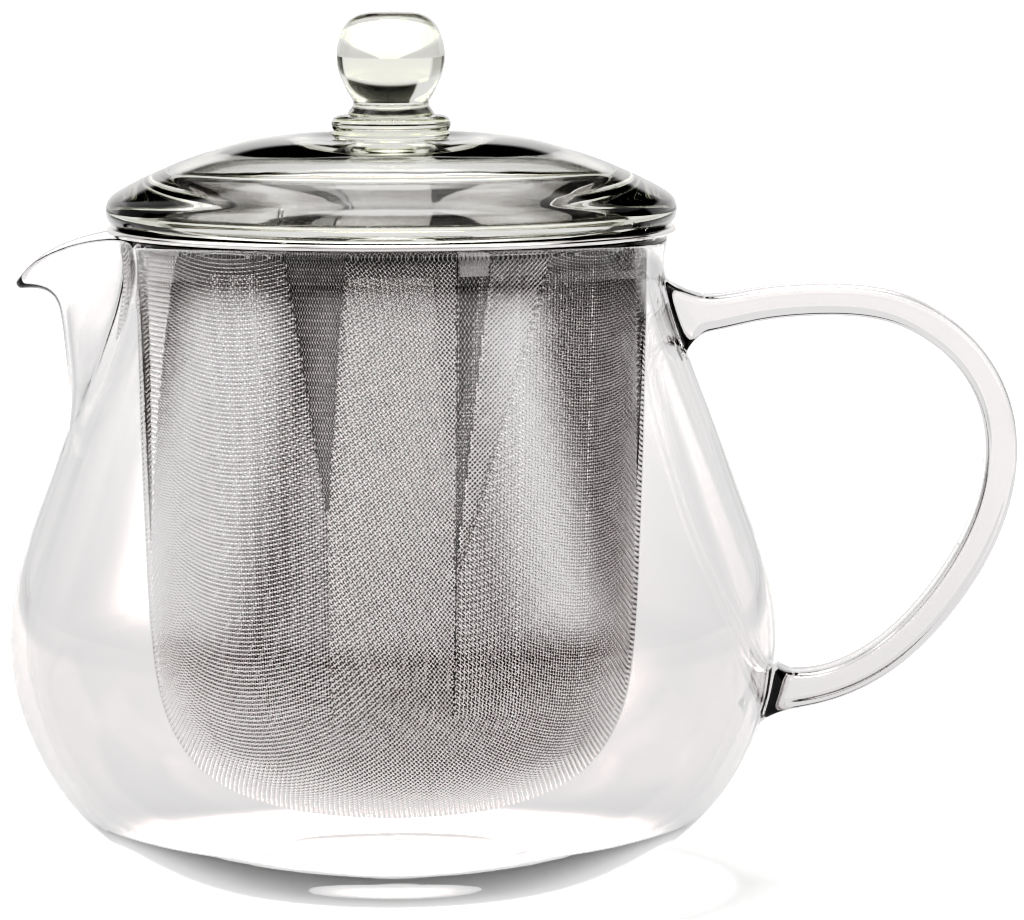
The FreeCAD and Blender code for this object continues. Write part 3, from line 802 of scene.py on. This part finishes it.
# ------------------------------------------------------------------ floor, light, camera
def emission_world():
    """The studio round the pot: soft panels by bearing (from behind, + to the handle) and height."""
    world = bpy.data.worlds.new("studio")
    bpy.context.scene.world = world
    world.use_nodes = True
    nt = world.node_tree
    nt.nodes.clear()
    out = nt.nodes.new("ShaderNodeOutputWorld")
    bg = nt.nodes.new("ShaderNodeBackground")
    co = nt.nodes.new("ShaderNodeTexCoord")
    xyz = nt.nodes.new("ShaderNodeSeparateXYZ")
    nt.links.new(co.outputs["Generated"], xyz.inputs["Vector"])

    around = maths(nt, "ARCTAN2", xyz.outputs["X"], xyz.outputs["Y"])
    around = maths(nt, "MULTIPLY", around, 180 / math.pi)
    up = maths(nt, "MULTIPLY", maths(nt, "ARCSINE", xyz.outputs["Z"]), 180 / math.pi)

    def window(value, lo, hi, soft):
        a = map_range(nt, value, lo - soft, lo + soft, 0, 1, "SMOOTHSTEP")
        b = map_range(nt, value, hi - soft, hi + soft, 1, 0, "SMOOTHSTEP")
        return maths(nt, "MULTIPLY", a, b)

    def light(az_lo, az_hi, up_lo, up_hi, power, soft=2.5):
        across = window(around, az_lo, az_hi, soft)
        both = maths(nt, "MULTIPLY", across, window(up, up_lo, up_hi, soft))
        return maths(nt, "MULTIPLY", both, power)

    lights = [
        light(-38, 50, -95, 18, 1.0),       # white sweep behind the pot
        light(-62, -38, -95, 17, 0.42),     # where it falls off, left
        light(-70, -24, 17, 46, 0.75),      # upper corners, each side of the dark doorway
        light(50, 70, 17, 46, 0.75),
        light(-60, 60, 40, 64, 1.2),        # pale ceiling
        light(-96, -58, 26, 60, 0.8, 6),    # side walls, high up
        light(66, 112, 30, 60, 0.8, 6),
        light(-132, -84, 9, 60, 3.4, 13),   # white screen, left
        light(112, 135, 12, 50, 5.0, 12),   # narrower one, front right
        light(-215, -146, 8, 52, 1.4, 10),  # the pale room in front
        light(134, 205, 8, 52, 1.4, 10),
        light(-180, 180, 60, 100, 2.6, 6),  # overhead softbox, brighter in the middle
        light(-180, 180, 73, 100, 6.5, 5),
    ]
    level = 0.02
    for item in lights:
        level = maths(nt, "ADD", item, level)
    nt.links.new(level, bg.inputs["Strength"])
    bg.inputs["Color"].default_value = (1.0, 0.99, 0.985, 1)
    nt.links.new(bg.outputs["Background"], out.inputs["Surface"])


emission_world()
TABLE_Y = 2.0           # middle of the table, behind the pot (m)


def table_material():
    """White table that glows brighter behind the pot, with a painted pool of light under the pot's
    foot.
    """
    mat = bpy.data.materials.new("pale_floor")
    nt, nodes, links = node_tree(mat)
    out = nodes.new("ShaderNodeOutputMaterial")
    pb = nodes.new("ShaderNodeBsdfPrincipled")
    pb.inputs["Roughness"].default_value = 0.6
    pb.inputs["Specular IOR Level"].default_value = 0.1
    tex = noise(nt, 9.0, 3.0)
    ramp = nodes.new("ShaderNodeValToRGB")
    ramp.color_ramp.elements[0].color = (0.19, 0.19, 0.19, 1)
    ramp.color_ramp.elements[1].color = (0.21, 0.21, 0.21, 1)
    links.new(tex.outputs["Fac"], ramp.inputs["Fac"])
    links.new(ramp.outputs["Color"], pb.inputs["Base Color"])
    place = nodes.new("ShaderNodeTexCoord")
    across = nodes.new("ShaderNodeSeparateXYZ")
    links.new(place.outputs["Object"], across.inputs["Vector"])
    start = -TABLE_Y
    ahead = map_range(nt, across.outputs["Y"], start - 0.28, start - 0.05, 0.0, 0.76, "SMOOTHSTEP")
    aside = maths(nt, "ABSOLUTE", across.outputs["X"])
    spread = maths(nt, "MULTIPLY_ADD", across.outputs["Y"], -0.07, aside)
    near = map_range(nt, spread, 0.44, 0.62, 1.0, 0.25, "SMOOTHSTEP")
    glow = maths(nt, "MULTIPLY", ahead, near)
    centre = nodes.new("ShaderNodeVectorMath")
    centre.operation = "DISTANCE"
    links.new(place.outputs["Object"], centre.inputs[0])
    centre.inputs[1].default_value = (0.0, start, 0.0)
    # painted pool of light on the floor under the pot's foot
    under = map_range(nt, centre.outputs["Value"], 0.046, 0.060, 1.3, 0.0, "SMOOTHSTEP")
    pb.inputs["Emission Color"].default_value = (1, 1, 1, 1)
    links.new(maths(nt, "ADD", glow, under), pb.inputs["Emission Strength"])
    links.new(pb.outputs["BSDF"], out.inputs["Surface"])
    return mat


bpy.ops.mesh.primitive_plane_add(size=14.0, location=(0, TABLE_Y, -0.00015))
floor = bpy.context.object
floor.name = "floor"
floor.data.materials.append(table_material())
floor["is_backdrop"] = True

# ------------------------------------------------------------------ camera and tones
CAMERA_AT = (0.0203, -1.1, 0.1866)
CAMERA_DOWN, CAMERA_ROLL = 5.91, -0.15      # degrees
LENS, SENSOR = 228.7, 36.0
# scene light to shown light: deeper darks, near-whites held back
TONES = ((0.05, 0.009), (0.14, 0.068), (0.32, 0.31), (0.6, 0.65), (0.88, 0.80))

scene = bpy.context.scene
cam_data = bpy.data.cameras.new("camera")
cam_data.sensor_width = SENSOR
cam_data.lens = LENS
cam_data.clip_start = 0.05
cam_data.clip_end = 50.0
cam = bpy.data.objects.new("camera", cam_data)
scene.collection.objects.link(cam)
cam.matrix_world = (
    Matrix.Translation(CAMERA_AT)
    @ Matrix.Rotation(math.radians(90.0 - CAMERA_DOWN), 4, "X")
    @ Matrix.Rotation(math.radians(CAMERA_ROLL), 4, "Z")
)
scene.camera = cam
view = scene.view_settings
view.view_transform = "Standard"
view.look = "None"
view.use_curve_mapping = True
tones = view.curve_mapping
for at, to in TONES:
    tones.curves[3].points.new(at, to)
tones.update()

low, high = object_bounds()
